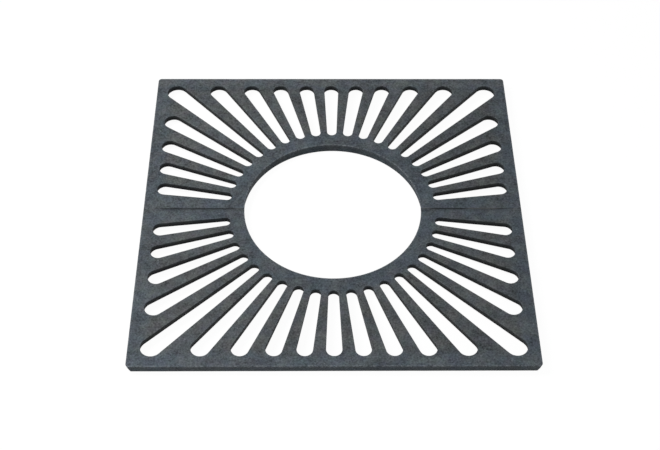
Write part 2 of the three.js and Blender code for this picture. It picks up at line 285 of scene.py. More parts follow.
def fill(form, loops, place, spacing=POINT_SPACING):
    """A flat face between an outer loop and the holes in it, with points spread over it."""
    outline = np.array([point for loop in loops for point in loop])
    low, high = outline.min(axis=0), outline.max(axis=0)
    row_height = spacing * math.sqrt(3) / 2
    columns = np.arange(low[0], high[0], spacing)
    rows = np.arange(low[1], high[1], row_height)
    grid = np.array(
        [(x + spacing / 2 * (i % 2), y) for i, y in enumerate(rows) for x in columns]
    )
    free = grid[crossings_inside(grid, loops)]
    free = free[clear_of(free, loops, spacing * EDGE_MARGIN_SHARE)]
    edges = []
    start = 0
    for loop in loops:
        count = len(loop)
        edges.extend((start + i, start + (i + 1) % count) for i in range(count))
        start += count
    spots = [Vector(point) for point in np.vstack([outline, free]).tolist()]
    places, _, faces, *_ = delaunay_2d_cdt(spots, edges, [], 0, OUTLINE_TOLERANCE)
    flat = np.array([tuple(place) for place in places])
    faces = np.array(faces)
    kept = faces[crossings_inside(flat[faces].mean(axis=1), loops)]
    laid = [form.verts.new(place(x, y)) for x, y in flat]
    for corners in kept:
        form.faces.new([laid[i] for i in corners])
    bmesh.ops.delete(form, geom=[v for v in laid if not v.link_faces], context="VERTS")


def close(form):
    """Joins the runs of a form into one closed skin that faces out."""
    bmesh.ops.remove_doubles(form, verts=form.verts, dist=JOINING_DISTANCE)
    bmesh.ops.recalc_face_normals(form, faces=form.faces)


def add_object(name, data):
    obj = bpy.data.objects.new(name, data)
    bpy.context.scene.collection.objects.link(obj)
    return obj


def finish_piece(form, name, material, nodes, smooth_angle=CAST_SMOOTH_ANGLE):
    """Turns a form in millimetres into a finished piece that stands for CAD nodes."""
    bmesh.ops.scale(form, vec=(MM, MM, MM), verts=form.verts)
    mesh = bpy.data.meshes.new(name)
    form.to_mesh(mesh)
    form.free()
    mesh.materials.append(material)
    mesh.shade_smooth()
    mesh.set_sharp_from_angle(angle=smooth_angle)
    piece = add_object(name, mesh)
    weighting = piece.modifiers.new("even shading", "WEIGHTED_NORMAL")
    weighting.keep_sharp = True
    weighting.weight = EVEN_SHADING_WEIGHT
    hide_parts(*nodes)
    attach(piece, "root")


# The castings


def slot_outline(angle, growth):
    """One slot from above: two round ends and the straight sides that touch both."""
    widening = math.sin(SLOT_SIDE_ANGLE)
    towards_border = max(abs(math.cos(angle)), abs(math.sin(angle)))
    inner_radius = SLOT_INNER_WIDTH / 2
    room = border_line - inner_radius + widening * slot_start_radius
    end_distance = room / (towards_border + widening)
    outer_radius = inner_radius + widening * (end_distance - slot_start_radius)
    start = on_circle((0, 0), slot_start_radius, angle)
    end = on_circle((0, 0), end_distance, angle)
    touch = math.pi / 2 + SLOT_SIDE_ANGLE
    outer = arc(end, outer_radius + growth, angle - touch, angle + touch, SLOT_OUTER_STEPS)
    inner_end = angle + 2 * math.pi - touch
    inner = arc(start, inner_radius + growth, angle + touch, inner_end, SLOT_INNER_STEPS)
    side_steps = steps_for(end_distance - slot_start_radius)
    return chain(
        outer,
        line(outer[-1], inner[0], side_steps),
        inner,
        line(inner[-1], outer[0], side_steps),
    )[:-1]


def edge_growth(z, slope, bottom):
    """How far a cast wall stands back at a height, with both of its edges rounded."""
    lean = math.atan(slope)
    centre = HEIGHT - TOP_EDGE_RADIUS
    tangent = centre - TOP_EDGE_RADIUS * math.sin(lean)
    if z > tangent:
        return TOP_EDGE_RADIUS - math.sqrt(TOP_EDGE_RADIUS**2 - (z - centre) ** 2)
    growth = TOP_EDGE_RADIUS * (1 - math.cos(lean)) + slope * (tangent - z)
    return growth + rounding(bottom + LOWER_EDGE_RADIUS - z, LOWER_EDGE_RADIUS)


def rounding(depth, radius):
    """How far a rounded edge has turned back, at a depth into its rounding."""
    if depth <= 0:
        return 0.0
    return radius - math.sqrt(max(radius**2 - depth**2, 0.0))


def seam_inset(z):
    return rounding(z - (HEIGHT - SEAM_EDGE_RADIUS), SEAM_EDGE_RADIUS)


top_heights = [HEIGHT - edge_depth(TOP_EDGE_RADIUS, turn) for turn in TOP_EDGE_TURNS]


def wall_heights(bottom):
    """Heights down a cast wall, through both of its rounded edges."""
    middle = between(top_heights[-1], bottom + LOWER_EDGE_RADIUS, WALL_STEPS)[1:]
    low = [bottom + edge_depth(LOWER_EDGE_RADIUS, turn) for turn in SMALL_EDGE_TURNS]
    return top_heights + middle + low


def slot_wall(form, angle):
    """A slot's rounded edge and leaning wall, down to the bars' underside."""
    fade = at_height(slot_outline(angle, TOP_EDGE_RADIUS + WEAR_BAND), HEIGHT)
    rows = [fade]
    for z in wall_heights(underside_z):
        rows.append(at_height(slot_outline(angle, edge_growth(z, slot_slope, underside_z)), z))
    skin(form, rows, closed=True)
    return [point[:2] for point in rows[0]], [point[:2] for point in rows[-1]]


def border_run(edge, seam, radius):
    """From the seam's right end round both outer corners to its left end."""
    right = (edge - radius, edge - radius)
    left = (-right[0], right[1])
    side = steps_for(half_side)
    rear = steps_for(SIDE)
    return chain(
        line((edge, seam), (edge, right[1]), side),
        arc(right, radius, 0, math.pi / 2, CORNER_STEPS),
        line((right[0], edge), (left[0], edge), rear),
        arc(left, radius, math.pi / 2, math.pi, CORNER_STEPS),
        line((-edge, left[1]), (-edge, seam), side),
    )


def ring_run(radius, seam):
    """From the seam's left side over the opening to its right side."""
    turn = math.asin(seam / radius)
    return arc((0, 0), radius, math.pi - turn, turn, OPENING_STEPS)


seam_steps = steps_for(half_side - opening_radius)


def seam_run(radius, edge, seam, side):
    """Along the seam from the opening outwards, on the right (1) or the left (-1)."""
    start = math.sqrt(radius**2 - seam**2)
    return line((side * start, seam), (side * edge, seam), seam_steps)


def half_level(z, growths=None):
    """The runs round a half at a height: right seam, border, left seam and opening."""
    inset, seam, growth = growths or (
        edge_growth(z, edge_slope, 0),
        seam_inset(z),
        edge_growth(z, opening_slope, 0),
    )
    edge = half_side - inset
    radius = opening_radius + growth
    seam += seam_face
    return (
        seam_run(radius, edge, seam, 1),
        border_run(edge, seam, max(CORNER_RADIUS - inset, LOWER_CORNER_RADIUS)),
        seam_run(radius, edge, seam, -1)[::-1],
        ring_run(radius, seam),
    )


def rib_profile(wall_at):
    """A rib's hidden side, from its underside up into the fillet: heights and offsets."""
    heights = [edge_depth(LOWER_EDGE_RADIUS, turn) for turn in SMALL_EDGE_TURNS[::-1]]
    fillet_start = underside_z - RIB_FILLET_RADIUS
    heights += [LOWER_EDGE_RADIUS, fillet_start]
    heights += [
        fillet_start + RIB_FILLET_RADIUS * math.sin(math.radians(turn))
        for turn in SMALL_EDGE_TURNS
    ]
    return [
        (
            wall_at(z)
            + rounding(LOWER_EDGE_RADIUS - z, LOWER_EDGE_RADIUS)
            - rounding(z - fillet_start, RIB_FILLET_RADIUS),
            z,
        )
        for z in heights
    ]


def recess_ends(growth):
    """Where a joint plate's recess starts and ends along the seam."""
    half_length = PLATE_LENGTH / 2 + growth
    return plate_middle - half_length, plate_middle + half_length


def recess_run(growth, side):
    """Half of a joint plate's recess, over the plate from the opening outwards."""
    start, end = recess_ends(growth)
    half_width = PLATE_WIDTH / 2 + growth
    radius = PLATE_CORNER_RADIUS + growth
    near = (start + radius, half_width - radius)
    far = (end - radius, half_width - radius)
    points = chain(
        line((start, seam_face), (start, near[1]), RECESS_END_STEPS),
        arc(near, radius, math.pi, math.pi / 2, RECESS_CORNER_STEPS),
        line((near[0], half_width), (far[0], half_width), steps_for(PLATE_LENGTH)),
        arc(far, radius, math.pi / 2, 0, RECESS_CORNER_STEPS),
        line((end, far[1]), (end, seam_face), RECESS_END_STEPS),
    )
    return [(side * x, y) for x, y in points]


# How far a recess is wider than its plate, and at which height
recess_profile = [
    (PLATE_CLEARANCE + slot_slope * PLATE_RECESS_DEPTH + RECESS_EDGE, underside_z),
    (PLATE_CLEARANCE + slot_slope * PLATE_RECESS_DEPTH, underside_z + RECESS_EDGE),
    (PLATE_CLEARANCE, recess_z - RECESS_EDGE),
    (PLATE_CLEARANCE - RECESS_EDGE, recess_z),
]
# A tapped hole's radius, and how far over the recess
tapped_profile = [
    (SCREW_DIAMETER / 2 + TAPPED_MOUTH, 0.0),
    (SCREW_DIAMETER / 2 + THREAD_CLEARANCE, TAPPED_MOUTH_DEPTH),
    (SCREW_DIAMETER / 2 + THREAD_CLEARANCE, TAPPED_DEPTH),
    (DRILL_TIP_RADIUS, DRILLED_DEPTH),
]


def tapped_holes(form, side):
    """The two blind tapped holes over a recess; gives back their rims."""
    rims = []
    for along in (-screw_along, screw_along):
        centre = (side * (plate_middle + along), screw_across)
        rows = [
            at_height(circle(centre, radius, TAPPED_STEPS), recess_z + depth)
            for radius, depth in tapped_profile
        ]
        skin(form, rows, closed=True)
        cap(form, rows[-1])
        rims.append([point[:2] for point in rows[0]])
    return rims


def seam_wall(form, side, levels, rim, rib):
    """The flat sawn-looking face at the seam, cut round the ribs and the plate's recess."""
    first = SEAM_STRIP_LEVELS - 1
    opening_side = []
    border_side = []
    for z, _ in levels[first:]:
        opening_side.append((math.sqrt(seam_radius(z) ** 2 - seam_face**2), z))
        border_side.append((half_side - edge_growth(z, edge_slope, 0), z))
    rim_side = [(math.sqrt(radius**2 - seam_face**2), z) for radius, z in rim]
    recess_in = [(recess_ends(growth)[0], z) for growth, z in recess_profile]
    recess_out = [(recess_ends(growth)[1], z) for growth, z in recess_profile]
    near, far = under_seam_runs(rim_side[-1][0], rib[-1][0])
    ceiling = ceiling_run()
    outline = chain(
        opening_side,
        [opening_side[-1]] + rim_side,
        [(x, underside_z) for x in near],
        recess_in,
        [(x, recess_z) for x in ceiling],
        recess_out[::-1],
        [(x, underside_z) for x in far],
        rib[::-1],
        [rib[0]] + border_side[::-1],
        [(x, levels[first][0]) for x in top_seam_run(levels[first][0])[::-1]],
    )[:-1]
    fill(form, [outline], lambda x, z: (side * x, seam_face, z), SEAM_FACE_SPACING)


def seam_radius(z):
    return opening_radius + edge_growth(z, opening_slope, 0)


def top_seam_run(z):
    edge = half_side - edge_growth(z, edge_slope, 0)
    return [x for x, _ in seam_run(seam_radius(z), edge, seam_face, 1)]


def under_seam_runs(rim_root, rib_root):
    """Places along the seam on the bars' underside, before and after the recess."""
    start, end = recess_ends(recess_profile[0][0])
    near = between(rim_root, start, INSIDE_RECESS_STEPS)
    return near, between(end, rib_root, OUTSIDE_RECESS_STEPS)


def ceiling_run():
    start, end = recess_ends(recess_profile[-1][0])
    return between(start, end, steps_for(PLATE_LENGTH))


def raise_seam_pads(form):
    """Brings the seam's face forward in the border, where the halves meet."""
    for vertex in form.verts:
        x, y, _ = vertex.co
        along = min(max((abs(x) - pad_start) / PAD_BLEND + 0.5, 0.0), 1.0)
        above = min(max(1.0 - (y - seam_face) / PAD_BLEND, 0.0), 1.0)
        vertex.co.y = y - pad_rise * along * above


def half_casting():
    """The rear half in millimetres: a closed skin, true to the drawing."""
    form = bmesh.new()
    rims = [slot_wall(form, SLOT_ANGLE_STEP * (i + 1)) for i in range(SLOTS_PER_HALF)]

    flat = TOP_EDGE_RADIUS + WEAR_BAND
    fade = half_level(HEIGHT, (flat, SEAM_EDGE_RADIUS + WEAR_BAND, flat))
    levels = [(z, half_level(z)) for z in wall_heights(0.0)]
    strips = [(HEIGHT, fade)] + levels[:SEAM_STRIP_LEVELS]
    skin(form, [at_height(chain(*runs)[:-1], z) for z, runs in strips], closed=True)
    fill(form, [chain(*fade)[:-1]] + [top for top, _ in rims], level(HEIGHT))

    lower = levels[SEAM_STRIP_LEVELS - 1 :]
    rim = rib_profile(lambda z: -(rim_outer_radius + slot_slope * z))
    rim = [(-radius, z) for radius, z in rim]
    rib = rib_profile(lambda z: border_rib_line - slot_slope * z)
    rib_rows = [
        at_height(border_run(edge, seam_face, BORDER_RIB_CORNER_RADIUS), z) for edge, z in rib
    ]
    rim_rows = [at_height(ring_run(radius, seam_face), z) for radius, z in rim]
    skin(form, [at_height(runs[1], z) for z, runs in lower] + rib_rows)
    skin(form, [at_height(runs[3], z) for z, runs in lower] + rim_rows)

    near, far = under_seam_runs(rim_rows[-1][-1][0], rib[-1][0])
    under = {}
    for side in (1, -1):
        seam_wall(form, side, levels, rim, rib)
        rows = [at_height(recess_run(growth, side), z) for growth, z in recess_profile]
        skin(form, rows)
        under[side] = chain(
            [(side * x, seam_face) for x in near],
            recess_run(recess_profile[0][0], side),
            [(side * x, seam_face) for x in far],
        )
        ceiling = chain(
            [(side * x, seam_face) for x in ceiling_run()],
            recess_run(recess_profile[-1][0], side)[::-1],
        )[:-1]
        fill(form, [ceiling] + tapped_holes(form, side), level(recess_z), RECESS_SPACING)
    outline = chain(
        under[1],
        [point[:2] for point in rib_rows[-1]],
        under[-1][::-1],
        [point[:2] for point in rim_rows[-1]],
    )[:-1]
    holes = [bottom for _, bottom in rims]
    fill(form, [outline] + holes, level(underside_z), UNDERSIDE_SPACING)
    close(form)
    raise_seam_pads(form)
    return form


def give_cast_surface(form):
    """Marks the worn edges, then lets the surface stray a little, always inside the true size."""
    wear = form.verts.layers.float.new("edge_wear")
    wear_end = HEIGHT - WEAR_DEPTH
    draw_in = 1 - WARPS_DRAWN_IN * WARP / half_side
    for vertex in form.verts:
        z = vertex.co.z
        if wear_end < z < HEIGHT - FLAT_TOLERANCE:
            vertex[wear] = min(1.0, (z - wear_end) / WEAR_RISE)
        stray = noise.noise_vector(vertex.co / WARP_LENGTH) * WARP
        towards_middle = 1 - 2 * z / HEIGHT
        vertex.co = Vector(
            (
                vertex.co.x * draw_in + stray.x,
                vertex.co.y * draw_in + stray.y,
                z + towards_middle * WARPS_LEVELLED * WARP + stray.z,
            )
        )


def castings():
    noise.seed_set(WARP_SEED)
    # Each half gets its own reach and strength of painted shade beside the seam; the front half's
    # is wider and darker.
    rear = cast_iron(
        "cast iron, rear half", offset=(0.0, 0.0, 0.0), seam_shade_reach=0.0075, seam_shade_share=0.55
    )
    front = cast_iron(
        "cast iron, front half", offset=(3.7, -1.9, 0.6), seam_shade_reach=0.015, seam_shade_share=0.8
    )
    for name, turn, material in (("rear", 0.0, rear), ("front", math.pi, front)):
        form = half_casting()
        bmesh.ops.rotate(form, verts=form.verts, matrix=Matrix.Rotation(turn, 3, "Z"))
        give_cast_surface(form)
        finish_piece(form, f"{name}_half_casting", material, [f"{name}_half"])


# The joints underneath


def rounded_rectangle(half_length, half_width, radius):
    x, y = half_length - radius, half_width - radius
    points = []
    for quarter, centre in enumerate(((x, y), (-x, y), (-x, -y), (x, -y))):
        start = quarter * math.pi / 2
        points.extend(arc(centre, radius, start, start + math.pi / 2, PLATE_CORNER_STEPS))
    return points


def softened(low, high, radius):
    """Heights and set-backs of a straight wall with both edges softened."""
    depths = [edge_depth(radius, turn) for turn in (*SMALL_EDGE_TURNS[::-1], 0)]
    heights = [low + depth for depth in depths] + [high - depth for depth in depths[::-1]]
    setbacks = [
        rounding(max(low + radius - z, z - (high - radius)), radius) for z in heights
    ]
    return list(zip(heights, setbacks))


def joint_plate(side, name, material):
    form = bmesh.new()
    low = plate_z + SEATING_GAP
    high = recess_z - PLATE_TOP_GAP
    centre_x = side * plate_middle
    rows = []
    for z, setback in softened(low, high, PLATE_EDGE_RADIUS):
        outline = rounded_rectangle(
            PLATE_LENGTH / 2 - setback,
            PLATE_WIDTH / 2 - setback,
            PLATE_CORNER_RADIUS - setback,
        )
        rows.append([(x + centre_x, y, z) for x, y in outline])
    skin(form, rows, closed=True)
    holes = []
    for along in (-screw_along, screw_along):
        for across in (-screw_across, screw_across):
            centre = (centre_x + along, across)
            hole_rows = []
            for z, setback in softened(low, high, PLATE_HOLE_EDGE_RADIUS):
                radius = PLATE_HOLE_DIAMETER / 2 + setback
                hole_rows.append(at_height(circle(centre, radius, PLATE_HOLE_STEPS), z))
            skin(form, hole_rows, closed=True)
            holes.append(hole_rows)
    for end in (0, -1):
        loops = [[point[:2] for point in rows[end]]]
        loops += [[point[:2] for point in hole[end]] for hole in holes]
        fill(form, loops, level(rows[end][0][2]), PLATE_SPACING)
    close(form)
    finish_piece(
        form, f"{name}_joint_plate", material, [f"joint_plate_{name}"]
    )


def washer_section(diameter, bore_diameter, wall):
    """Radii and heights round a washer's section."""
    outer = [(diameter / 2 - setback, z) for z, setback in wall]
    inner = [(bore_diameter / 2 + setback, z) for z, setback in wall]
    return outer + inner[::-1]


def washer(centre):
    form = bmesh.new()
    wall = softened(washer_z + SEATING_GAP, plate_z - SEATING_GAP, WASHER_EDGE_RADIUS)
    section = washer_section(WASHER_DIAMETER, WASHER_BORE_DIAMETER, wall)
    rows = [at_height(circle(centre, radius, WASHER_STEPS), z) for radius, z in section]
    skin(form, rows + rows[:1], closed=True)
    close(form)
    return form


def spring_washer(centre, turn):
    """A split ring with a slanted slit, pressed flat by the tightened screw."""
    form = bmesh.new()
    low = spring_washer_z + SEATING_GAP
    high = washer_z - SEATING_GAP
    wall = softened(low, high, SPRING_WASHER_EDGE_RADIUS)
    section = washer_section(SPRING_WASHER_DIAMETER, SPRING_WASHER_BORE_DIAMETER, wall)
    middle_radius = (SPRING_WASHER_DIAMETER + SPRING_WASHER_BORE_DIAMETER) / 4
    half_slit = SPRING_WASHER_SLIT / 2 / middle_radius
    slant = math.tan(SPRING_WASHER_SLIT_ANGLE) / middle_radius
    rows = []
    for i in range(SPRING_WASHER_STEPS + 1):
        share = i / SPRING_WASHER_STEPS
        row = []
        for radius, z in section:
            lean = slant * ((low + high) / 2 - z)
            angle = turn + lean + half_slit + share * (2 * math.pi - 2 * half_slit)
            row.append((*on_circle(centre, radius, angle), z))
        rows.append(row)
    skin(form, rows, closed=True)
    cap(form, rows[0])
    cap(form, rows[-1])
    close(form)
    return form


def hexagon_radius(angle):
    """Distance from a hexagon head's axis to its side, with corners at multiples of 60 degrees."""
    sixth = math.pi / 3
    return HEX_ACROSS_FLATS / 2 / math.cos((angle % sixth) - sixth / 2)


def screw(centre, turn):
    """A hexagon set screw, head down, with a chamfered head and a cut thread."""
    form = bmesh.new()
    base = spring_washer_z - HEAD_HEIGHT + SEATING_GAP
    under_head = spring_washer_z - SEATING_GAP
    angles = [2 * math.pi * i / SCREW_STEPS for i in range(SCREW_STEPS)]
    face_radius = HEX_ACROSS_FLATS / 2 * HEAD_FACE_SHARE
    washer_face_radius = HEX_ACROSS_FLATS / 2 * HEAD_WASHER_FACE_SHARE
    washer_face_z = under_head - HEAD_WASHER_FACE_HEIGHT
    chamfer = math.tan(HEAD_CHAMFER_ANGLE)

    def ring(radius_at, z_at):
        return [(*on_circle(centre, radius_at(a), a + turn), z_at(a)) for a in angles]

    def round_ring(radius, z):
        return ring(lambda a: radius, lambda a: z)

    def chamfer_z(a):
        return base + max(0.0, hexagon_radius(a) - face_radius) * chamfer

    rows = [
        round_ring(face_radius * HEAD_DISH_FLOOR_SHARE, base + HEAD_DISH_DEPTH),
        round_ring(face_radius * HEAD_DISH_RIM_SHARE, base),
        round_ring(face_radius - HEAD_FACE_EDGE_START, base),
        round_ring(face_radius + HEAD_FACE_EDGE, base + HEAD_FACE_EDGE),
        ring(hexagon_radius, chamfer_z),
        ring(hexagon_radius, lambda a: under_head - HEAD_BACK_EDGE_START),
        ring(lambda a: hexagon_radius(a) - HEAD_BACK_EDGE, lambda a: washer_face_z),
        round_ring(washer_face_radius, washer_face_z),
        round_ring(washer_face_radius, under_head),
        round_ring(SCREW_DIAMETER / 2, under_head),
    ]
    crest = SCREW_DIAMETER / 2 - THREAD_CREST_GAP
    depth = THREAD_DEPTH_SHARE * SCREW_PITCH
    tip = spring_washer_z + SCREW_LENGTH - SEATING_GAP

    def thread_radius(a, z):
        phase = ((z - under_head) / SCREW_PITCH - a / (2 * math.pi)) % 1.0
        cut = depth * (1 - min(1.0, abs(phase - 0.5) * THREAD_FLANK_STEEPNESS))
        cut *= min(1.0, (z - under_head) / SCREW_PITCH)
        near_tip = max(0.0, THREAD_TIP_CHAMFER - (tip - z))
        return min(crest - cut, crest - near_tip)

    levels = LEVELS_PER_THREAD * round((tip - under_head) / SCREW_PITCH)
    for z in between(under_head, tip, levels)[1:-1]:
        rows.append([(*on_circle(centre, thread_radius(a, z), a + turn), z) for a in angles])
    rows.append(round_ring(crest - THREAD_TIP_CHAMFER, tip))
    skin(form, rows, closed=True)
    cap(form, rows[0])
    cap(form, rows[-1])
    close(form)
    return form


def joints():
    plate_finish = galvanised_steel()
    screw_finish = zinc_plate("zinc plate on screws", 0.0)
    washer_finish = zinc_plate("zinc plate on washers", 5.0)
    for side, side_name in ((-1, "left"), (1, "right")):
        joint_plate(side, side_name, plate_finish)
        screws = [(across, along) for across in (-1, 1) for along in (-1, 1)]
        for index, (across, along) in enumerate(screws):
            centre = (side * plate_middle + along * screw_along, across * screw_across)
            turn = HEAD_TURN_STEP * index
            row = "front" if across < 0 else "rear"
            place = "inner" if along * side < 0 else "outer"
            stack = (
                ("washer", "plain_washer", washer(centre), washer_finish),
                ("spring_washer", "split_washer", spring_washer(centre, turn), washer_finish),
                ("screw", "hexagon_screw", screw(centre, turn), screw_finish),
            )
            for kind, word, form, finish in stack:
                finish_piece(
                    form,
                    f"{side_name}_{row}_{place}_{word}",
                    finish,
                    [f"{kind}_{side_name}_{row}_{place}"],
                    FASTENER_SMOOTH_ANGLE,
                )


# Finishes


class Wiring:
    """Adds nodes to a tree and joins them up."""

    def __init__(self, tree):
        self.tree = tree

    def add(self, kind, inputs=None, **settings):
        node = self.tree.nodes.new(kind)
        for name, value in settings.items():
            setattr(node, name, value)
        for name, value in (inputs or {}).items():
            self.join(value, node.inputs[name])
        return node

    def join(self, value, socket):
        if isinstance(value, bpy.types.NodeSocket):
            self.tree.links.new(value, socket)
        else:
            socket.default_value = value

    def object_place(self):
        return self.add("ShaderNodeTexCoord").outputs["Object"]

    def shift(self, place, offset):
        inputs = {"Vector": place, "Location": offset}
        return self.add("ShaderNodeMapping", inputs).outputs[0]

    def compute(self, operation, first, second=0.0, clamp=False):
        node = self.add("ShaderNodeMath", {0: first, 1: second}, operation=operation)
        node.use_clamp = clamp
        return node.outputs[0]

    def times(self, first, second, clamp=False):
        return self.compute("MULTIPLY", first, second, clamp)

    def span(self, value, low, high, to_low=0.0, to_high=1.0, smooth=False):
        inputs = {"Value": value, "From Min": low, "From Max": high}
        inputs.update({"To Min": to_low, "To Max": to_high})
        kind = "SMOOTHSTEP" if smooth else "LINEAR"
        return self.add("ShaderNodeMapRange", inputs, interpolation_type=kind).outputs[0]

    def blend(self, share, first, second, mode="MIX"):
        node = self.add("ShaderNodeMix", data_type="RGBA", blend_type=mode)
        self.join(share, node.inputs[0])
        self.join(first, node.inputs[6])
        self.join(second, node.inputs[7])
        return node.outputs[2]

    def shade(self, colour, tone):
        """A colour made lighter or darker by a number that varies over the surface."""
        grey = self.add("ShaderNodeCombineColor", {0: tone, 1: tone, 2: tone}).outputs[0]
        return self.blend(1.0, colour, grey, "MULTIPLY")

    def noise(self, place, scale, detail=3.0, roughness=0.55):
        inputs = {"Vector": place, "Scale": scale, "Detail": detail, "Roughness": roughness}
        return self.add("ShaderNodeTexNoise", inputs).outputs["Fac"]

    def cells(self, place, scale):
        inputs = {"Vector": place, "Scale": scale}
        return self.add("ShaderNodeTexVoronoi", inputs).outputs

    def split_colour(self, colour):
        return self.add("ShaderNodeSeparateColor", {"Color": colour}).outputs


def effect(name, inputs, outputs):
    """An empty node group with named sockets, and the wiring inside it."""
    tree = bpy.data.node_groups.new(name, "ShaderNodeTree")
    for label, kind, value in inputs:
        socket = tree.interface.new_socket(label, in_out="INPUT", socket_type=kind)
        if value is not None:
            socket.default_value = value
    for label, kind in outputs:
        tree.interface.new_socket(label, in_out="OUTPUT", socket_type=kind)
    wiring = Wiring(tree)
    entry = wiring.add("NodeGroupInput")
    leave = wiring.add("NodeGroupOutput")
    return tree, wiring, entry.outputs, leave.inputs


FLOAT = "NodeSocketFloat"
COLOUR = "NodeSocketColor"
VECTOR = "NodeSocketVector"


def make_mottle():
    """A metal's tone, unsettled at three scales, with a hue that drifts between two."""
    tree, wiring, given, out = effect(
        "mottle",
        [
            ("Place", VECTOR, None),
            ("Cool", COLOUR, (0.05, 0.06, 0.07, 1)),
            ("Warm", COLOUR, (0.06, 0.06, 0.06, 1)),
            ("Patch Scale", FLOAT, 12.0),
            ("Patches", FLOAT, 0.4),
            ("Blotches", FLOAT, 0.6),
            ("Grain", FLOAT, 1.2),
        ],
        [("Color", COLOUR), ("Tone", FLOAT)],
    )
    tone = 1.0
    scales = (("Patches", 1.5), ("Blotches", 1.5), ("Grain", 2.0))
    for step, (label, detail) in enumerate(scales):
        scale = wiring.times(given["Patch Scale"], 4.0**step)
        swing = wiring.compute("SUBTRACT", wiring.noise(given["Place"], scale, detail, 0.9), 0.5)
        tone = wiring.compute("ADD", wiring.times(swing, given[label]), tone)
    hue_scale = wiring.times(given["Patch Scale"], 1.7)
    hue = wiring.noise(given["Place"], hue_scale, 3.0, 0.6)
    drift = wiring.span(hue, 0.36, 0.64, smooth=True)
    colour = wiring.blend(drift, given["Cool"], given["Warm"])
    tint_place = wiring.add("ShaderNodeVectorMath", {0: given["Place"], 1: (9.1, 4.3, 7.7)})
    tint = wiring.noise(tint_place.outputs[0], wiring.times(hue_scale, 1.6), 4.0, 0.75)
    green = wiring.span(tint, 0.3, 0.7, 0.92, 1.08)
    tinted = wiring.add("ShaderNodeCombineColor", {0: 1.0, 1: green, 2: 1.0}).outputs[0]
    colour = wiring.blend(1.0, colour, tinted, "MULTIPLY")
    wiring.join(wiring.shade(colour, tone), out["Color"])
    wiring.join(tone, out["Tone"])
    return tree


def make_grain():
    """The fine relief of a sand mould or a zinc bath, as a height and a fine tone mask."""
    tree, wiring, given, out = effect(
        "surface grain",
        [("Place", VECTOR, None), ("Grain Scale", FLOAT, 400.0), ("Pit Share", FLOAT, 0.3)],
        [("Height", FLOAT), ("Tone", FLOAT)],
    )
    grain = wiring.noise(given["Place"], given["Grain Scale"], 4.0, 0.7)
    pits = wiring.cells(given["Place"], wiring.times(given["Grain Scale"], 0.45))
    pit_depth = wiring.span(pits["Distance"], 0.0, 0.35, 1.0, 0.0, smooth=True)
    sunk = wiring.times(pit_depth, given["Pit Share"])
    wiring.join(wiring.compute("SUBTRACT", grain, sunk), out["Height"])
    wiring.join(wiring.span(grain, 0.3, 0.7), out["Tone"])
    return tree


def make_specks():
    """Sparse small specks of bare or chipped metal."""
    tree, wiring, given, out = effect(
        "specks",
        [("Place", VECTOR, None), ("Speck Scale", FLOAT, 120.0), ("Share", FLOAT, 0.2)],
        [("Mask", FLOAT)],
    )
    cells = wiring.cells(given["Place"], given["Speck Scale"])
    chosen = wiring.split_colour(cells["Color"])
    size = wiring.span(chosen["Green"], 0.0, 1.0, 0.1, 0.24)
    dot = wiring.compute("SUBTRACT", 1.0, wiring.compute("DIVIDE", cells["Distance"], size))
    dot = wiring.times(dot, 2.5, clamp=True)
    kept = wiring.compute("LESS_THAN", chosen["Red"], given["Share"])
    wiring.join(wiring.times(dot, kept), out["Mask"])
    return tree


def make_edge_wear():
    """Where feet and handling have rubbed the edges, broken up along their length."""
    tree, wiring, given, out = effect(
        "edge wear",
        [("Edge", FLOAT, 0.0), ("Place", VECTOR, None), ("Amount", FLOAT, 0.6)],
        [("Mask", FLOAT)],
    )
    broken = wiring.noise(given["Place"], 150.0, 3.0, 0.75)
    patchy = wiring.span(broken, 0.47, 0.6, 0.05, 1.0)
    rubbed = wiring.times(given["Edge"], patchy)
    wiring.join(wiring.times(rubbed, given["Amount"], clamp=True), out["Mask"])
    return tree


def use(wiring, tree, **inputs):
    """Places a shared effect in a material with that material's own values."""
    node = wiring.add("ShaderNodeGroup")
    node.node_tree = tree
    for name, value in inputs.items():
        wiring.join(value, node.inputs[name.replace("_", " ").title()])
    return node.outputs


def blank_tree(holder):
    """The wiring of a material or a world, emptied first."""
    holder.use_nodes = True
    holder.node_tree.nodes.clear()
    return Wiring(holder.node_tree)


def new_finish(name):
    material = bpy.data.materials.new(name)
    return material, blank_tree(material)


def end_in_shader(wiring, looks):
    shader = wiring.add("ShaderNodeBsdfPrincipled", looks)
    wiring.add("ShaderNodeOutputMaterial", {"Surface": shader.outputs[0]})


def bump(wiring, height, strength, distance, before=None):
    inputs = {"Height": height, "Strength": strength, "Distance": distance}
    if before is not None:
        inputs["Normal"] = before
    return wiring.add("ShaderNodeBump", inputs).outputs[0]


mottle = make_mottle()
grain = make_grain()
specks = make_specks()
edge_wear = make_edge_wear()


# The casting's colours
BAND_COOL = (0.0645, 0.0792, 0.0945, 1)
BAND_WARM = (0.0755, 0.086, 0.0938, 1)
BAR_COOL = (0.0705, 0.08, 0.0878, 1)
BAR_WARM = (0.0793, 0.084, 0.0852, 1)
SPECK_COLOUR = (0.2, 0.215, 0.23, 1)
# The colour of the painted shade beside the seam
SEAM_SHADE_COLOUR = (0.018, 0.019, 0.02, 1)
# Pale dust in the joint, also painted light over the joint's shade
DUST_AND_LIGHT_COLOUR = (0.26, 0.27, 0.28, 1)
WORN_COLOUR = (0.19, 0.205, 0.22, 1)

